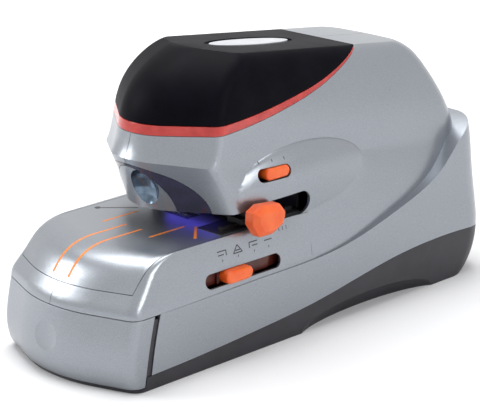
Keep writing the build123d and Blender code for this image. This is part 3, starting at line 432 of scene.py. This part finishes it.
def sheet_of(mesh, rows):
    """Faces between rows of points given in millimetres; returns the rows of vertices."""
    grid = [[mesh.verts.new(Vector(point) * MM) for point in row] for row in rows]
    for lower, upper in zip(grid, grid[1:]):
        for near, far, far_up, near_up in zip(lower, lower[1:], upper[1:], upper):
            mesh.faces.new((near, far, far_up, near_up))
    return grid


def rim_of(grid):
    """The vertices round the edge of a sheet, in order."""
    right = [row[-1] for row in grid[1:]]
    left = [row[0] for row in grid[-2:0:-1]]
    return grid[0] + right + grid[-1][-2::-1] + left


def wall_patch(name, rows, thickness_mm, inward):
    """Solid strip of silver wall through rows of points given in millimetres."""
    mesh = bmesh.new()
    outer = rim_of(sheet_of(mesh, rows))
    deep_rows = [[(x + inward * thickness_mm, y, z) for x, y, z in row] for row in rows]
    inner = rim_of(sheet_of(mesh, deep_rows))
    for step in range(len(outer)):
        after = (step + 1) % len(outer)
        mesh.faces.new((outer[step], outer[after], inner[after], inner[step]))
    piece = mesh_piece(name, mesh)
    bpy.ops.object.shade_smooth_by_angle(angle=math.radians(26))
    finish_piece(piece, "body", "silver_paint", silver)


def throat_end(side, shell):
    """Round rear end of the throat slot, and a soft rise from the skirt to the head wall behind it."""
    tree = skin_tree(made[shell])

    def wall_x(y, z):
        start = Vector((0.12 * side, y * MM, z * MM))
        return tree.ray_cast(start, Vector((-side, 0, 0)))[0].x / MM

    end_y, radius, middle_z, jaw_z = -8.0, 9.8, 108.2, 112.0
    head_y, skirt_y = end_y + 1.5, end_y - 1.5
    top = math.asin((jaw_z - middle_z) / radius)
    rows = []
    for step in range(25):
        turn = -math.pi / 2 + (top + math.pi / 2) * step / 24
        z = middle_z + radius * math.sin(turn)
        y = end_y - radius + radius * math.cos(turn)
        x = wall_x(head_y, z)
        rows.append([(x, y + (end_y - y) * part / 4, z) for part in range(5)])
    wall_patch("throat_corner_" + shell, rows, 2.2, -side)

    low_z, high_z, start_y, stop_y, lift = 76.5, 97.9, -32.0, -7.4, 0.02 * side
    rows = []
    for step in range(17):
        z = low_z + (high_z - low_z) * step / 16
        rise = wall_x(head_y, z) - wall_x(skirt_y, z)
        row = []
        for part in range(13):
            share = part / 12
            y = start_y + (stop_y - start_y) * share
            base = wall_x(min(y, skirt_y), z)
            row.append((base + rise * share * share * (3 - 2 * share) + lift, y, z))
        rows.append(row)
    wall_patch("skirt_rise_" + shell, rows, 1.2, -side)


throat_end(1, "shell_right")
throat_end(-1, "shell_left")


def coil(mesh, middle, axis, length_mm, radius_mm, wire_mm, turns):
    """Adds a coil of round wire to the mesh; its first and last turns lie flat."""
    steps_per_turn, corners, flat_turns = 28, 10, 0.9
    side = axis.orthogonal().normalized()
    other = axis.cross(side)
    steps = int(turns * steps_per_turn)
    run = length_mm - wire_mm
    rings = []
    for step in range(steps + 1):
        turn = turns * step / steps
        share = min(max((turn - flat_turns) / (turns - 2 * flat_turns), 0.0), 1.0)
        rise = share * run - run / 2
        out = side * math.cos(turn * math.tau) + other * math.sin(turn * math.tau)
        centre = middle + (out * radius_mm + axis * rise) * MM
        ring = []
        for corner in range(corners):
            lean = math.tau * corner / corners
            offset = out * math.cos(lean) + axis * math.sin(lean)
            ring.append(mesh.verts.new(centre + offset * wire_mm / 2 * MM))
        rings.append(ring)
    for near, far in zip(rings, rings[1:]):
        for corner in range(corners):
            after = (corner + 1) % corners
            mesh.faces.new((near[corner], near[after], far[after], far[corner]))
    mesh.faces.new(rings[0])
    mesh.faces.new(rings[-1])


def spring_piece(node, body, axis, sizes, turns, spots=((0, 0, 0),)):
    """Coil springs in place of a CAD node's tubes.

    sizes are the length, the mean radius and the wire in millimetres.
    """
    low, high = (Vector(corner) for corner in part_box(node))
    middle = (low + high) / 2
    axis = Vector(axis).normalized()
    mesh = bmesh.new()
    for spot in spots:
        coil(mesh, middle + Vector(spot) * MM, axis, *sizes, turns)
    piece = mesh_piece(node + "_coils", mesh)
    bpy.ops.object.shade_smooth()
    finish_piece(piece, body, "spring_steel", spring_steel, node)
    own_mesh(piece)


spring_piece("ram_return_springs", "body", (0, 0, 1), (17.3, 2.9, 0.9), 6,
             ((-17, 0, 0), (17, 0, 0)))
spring_piece("pusher_spring", "cartridge", (0, 1, 0), (19.3, 2.75, 0.8), 8)
spring_piece("button_spring", "body", (0, 0.107479, 0.994207), (11.2, 8.25, 1.2), 4)


# Printed marks


def printed_marks(name, tree, outlines, material, from_point, towards):
    """Flat shapes laid on the body: each outline's points are dropped onto it along one direction."""
    lift, thickness, reach = 0.06 * MM, 0.05 * MM, 0.3
    towards = Vector(towards)
    mesh = bmesh.new()
    for outline in outlines:
        ring = []
        for point in outline:
            hit = tree.ray_cast(from_point(point), towards, reach)[0]
            if hit is not None:
                ring.append(mesh.verts.new(hit - towards * lift))
        if len(ring) > 2:
            mesh.faces.new(ring)
    data = bpy.data.meshes.new(name)
    mesh.to_mesh(data)
    mesh.free()
    piece = bpy.data.objects.new(name, data)
    bpy.context.scene.collection.objects.link(piece)
    modify(piece, "SOLIDIFY", thickness=thickness, offset=0.0)
    select_only(piece)
    bpy.ops.object.mode_set(mode="EDIT")
    bpy.ops.mesh.select_all(action="SELECT")
    bpy.ops.mesh.normals_make_consistent(inside=False)
    bpy.ops.object.mode_set(mode="OBJECT")
    finish_piece(piece, "body", "inner_black", material)


def bar(y0, z0, y1, z1, width):
    """Corners of a straight stroke in side view, in millimetres."""
    run = Vector((y1 - y0, z1 - z0)).normalized() * width / 2
    side = Vector((-run.y, run.x))
    return [(y0 - side.x, z0 - side.y), (y1 - side.x, z1 - side.y), (y1 + side.x, z1 + side.y),
            (y0 + side.x, z0 + side.y)]


def strokes_along(points, width=0.85):
    """Strokes from point to point."""
    return [bar(*start, *end, width) for start, end in zip(points, points[1:])]


def side_marks():
    """Small pictures of sheets over the selector and ticks beside the slots, with no words."""
    pictures = [
        [[(-3.5, 1.6), (3.5, 1.6), (3.5, -1.6)], [(-3.0, -0.6), (1.6, -0.6)]],
        [[(-3.6, -2.0), (3.6, -2.0), (0.0, 2.6), (-3.6, -2.0)], [(-1.8, -0.5), (1.8, -0.5)]],
        [[(-3.5, -1.6), (-3.5, 1.6), (3.2, 1.6)], [(-1.4, -0.6), (3.2, -0.6)]],
        [[(-3.2, 0.0), (3.2, 0.0)]],
    ]
    size, picture_z, tick_width = 1.3, 86.5, 0.6
    ticks = [(y, 80.5, 82.2) for y in (-103.0, -86.5, -69.5, -54.0)]
    ticks += [(y, 90.0, 93.0) for y in (-41.0, -37.0, -33.0)]
    ticks += [(y, 146.0, 148.2) for y in (-57.0, -45.0, -33.0)]
    strokes = []
    for picture, (y, _, _) in zip(pictures, ticks):
        for run in picture:
            strokes += strokes_along([(y + size * along, picture_z + size * up) for along, up in run])
    strokes += [bar(y, low, y, high, tick_width) for y, low, high in ticks]
    printed_marks("side_scale_marks", skin_tree(made["shell_right"]), strokes, mark_ink,
                  lambda point: Vector((0.12, point[0] * MM, point[1] * MM)), (-1, 0, 0))


def deck_dot():
    """Printed dot at the outer end of the dark corner line."""
    x, y, radius = -56.0, -117.8, 2.6
    turns = [math.tau * step / 20 for step in range(20)]
    ring = [(x + radius * math.cos(turn), y + radius * math.sin(turn)) for turn in turns]
    printed_marks("deck_dot", skin_tree(made["deck_cover"]), [ring], mark_ink,
                  lambda point: Vector((point[0] * MM, point[1] * MM, 0.105)), (0, 0, -1))


side_marks()
deck_dot()


# Studio


def seen_directly(tree):
    """1 for camera, glossy and transmission rays, so that metal and glass show the background too."""
    rays = add(tree, "ShaderNodeLightPath")
    either = add(tree, "ShaderNodeMath", {"operation": "MAXIMUM"},
                 {0: rays.outputs["Is Camera Ray"], 1: rays.outputs["Is Glossy Ray"]})
    return add(tree, "ShaderNodeMath", {"operation": "MAXIMUM"},
               {0: either.outputs[0], 1: rays.outputs["Is Transmission Ray"]}).outputs[0]


def studio():
    """Plain pale floor, soft lamps and the camera at the photograph's angle."""
    bpy.ops.mesh.primitive_plane_add(size=12, location=(0, 0, 0))
    floor = bpy.context.object
    floor.name = "studio_floor"
    material = bpy.data.materials.new("studio_paper")
    material.use_nodes = True
    tree = material.node_tree
    shader = tree.nodes["Principled BSDF"]
    shader.inputs["Base Color"].default_value = (0.9, 0.9, 0.9, 1)
    shader.inputs["Roughness"].default_value = 0.9
    shader.inputs["Emission Color"].default_value = (1, 1, 1, 1)
    spot = add(tree, "ShaderNodeTexCoord")
    away = add(tree, "ShaderNodeVectorMath", {"operation": "LENGTH"}, {0: spot.outputs["Object"]})
    fade = add(tree, "ShaderNodeMapRange", links={"Value": away.outputs["Value"]},
               **{"From_Min": 0.45, "From_Max": 1.6, "To_Min": 0.0, "To_Max": 0.6})
    shown = add(tree, "ShaderNodeMath", {"operation": "MULTIPLY"},
                {0: fade.outputs["Result"], 1: seen_directly(tree)})
    tree.links.new(shown.outputs[0], shader.inputs["Emission Strength"])
    paint(floor, material)

    world = bpy.data.worlds.new("studio_world")
    world.use_nodes = True
    bpy.context.scene.world = world
    tree = world.node_tree
    soft = tree.nodes["Background"]
    sky = add(tree, "ShaderNodeTexCoord")
    height = add(tree, "ShaderNodeSeparateXYZ", links={"Vector": sky.outputs["Generated"]})
    shade = ramp(tree, height.outputs["Z"], linear("#6E727A"), linear("#F4F5F8"), 0.0, 0.75)
    tree.links.new(shade, soft.inputs["Color"])
    soft.inputs["Strength"].default_value = 0.6
    white = add(tree, "ShaderNodeBackground", Color=(1, 1, 1, 1), Strength=1.0)
    mix = add(tree, "ShaderNodeMixShader")
    tree.links.new(seen_directly(tree), mix.inputs[0])
    tree.links.new(soft.outputs[0], mix.inputs[1])
    tree.links.new(white.outputs[0], mix.inputs[2])
    tree.links.new(mix.outputs[0], tree.nodes["World Output"].inputs["Surface"])

    target = Vector((0.024, -0.038, 0.096))
    lamps = [
        ("lamp_top", (-0.3, 0.1, 1.5), 1.2, 20),
        ("lamp_front_left", (-1.3, -1.2, 1.0), 0.8, 14),
        ("lamp_right", (1.6, 0.1, 0.9), 0.9, 11),
    ]
    for name, place, size, power in lamps:
        lamp = bpy.data.lights.new(name, "AREA")
        lamp.size = size
        lamp.energy = power
        holder = bpy.data.objects.new(name, lamp)
        holder.location = place
        holder.rotation_euler = (target - Vector(place)).to_track_quat("-Z", "Y").to_euler()
        bpy.context.scene.collection.objects.link(holder)

    lens = bpy.data.cameras.new("photo_camera")
    lens.lens = 135
    lens.sensor_width = 36
    lens.clip_start = 0.05
    camera = bpy.data.objects.new("photo_camera", lens)
    camera.location = target + Vector((0.6725, -0.6725, 0.3090)) * 1.430
    camera.rotation_euler = (target - camera.location).to_track_quat("-Z", "Y").to_euler()
    bpy.context.scene.collection.objects.link(camera)
    bpy.context.scene.camera = camera
    bpy.context.scene.view_settings.view_transform = "Standard"


studio()
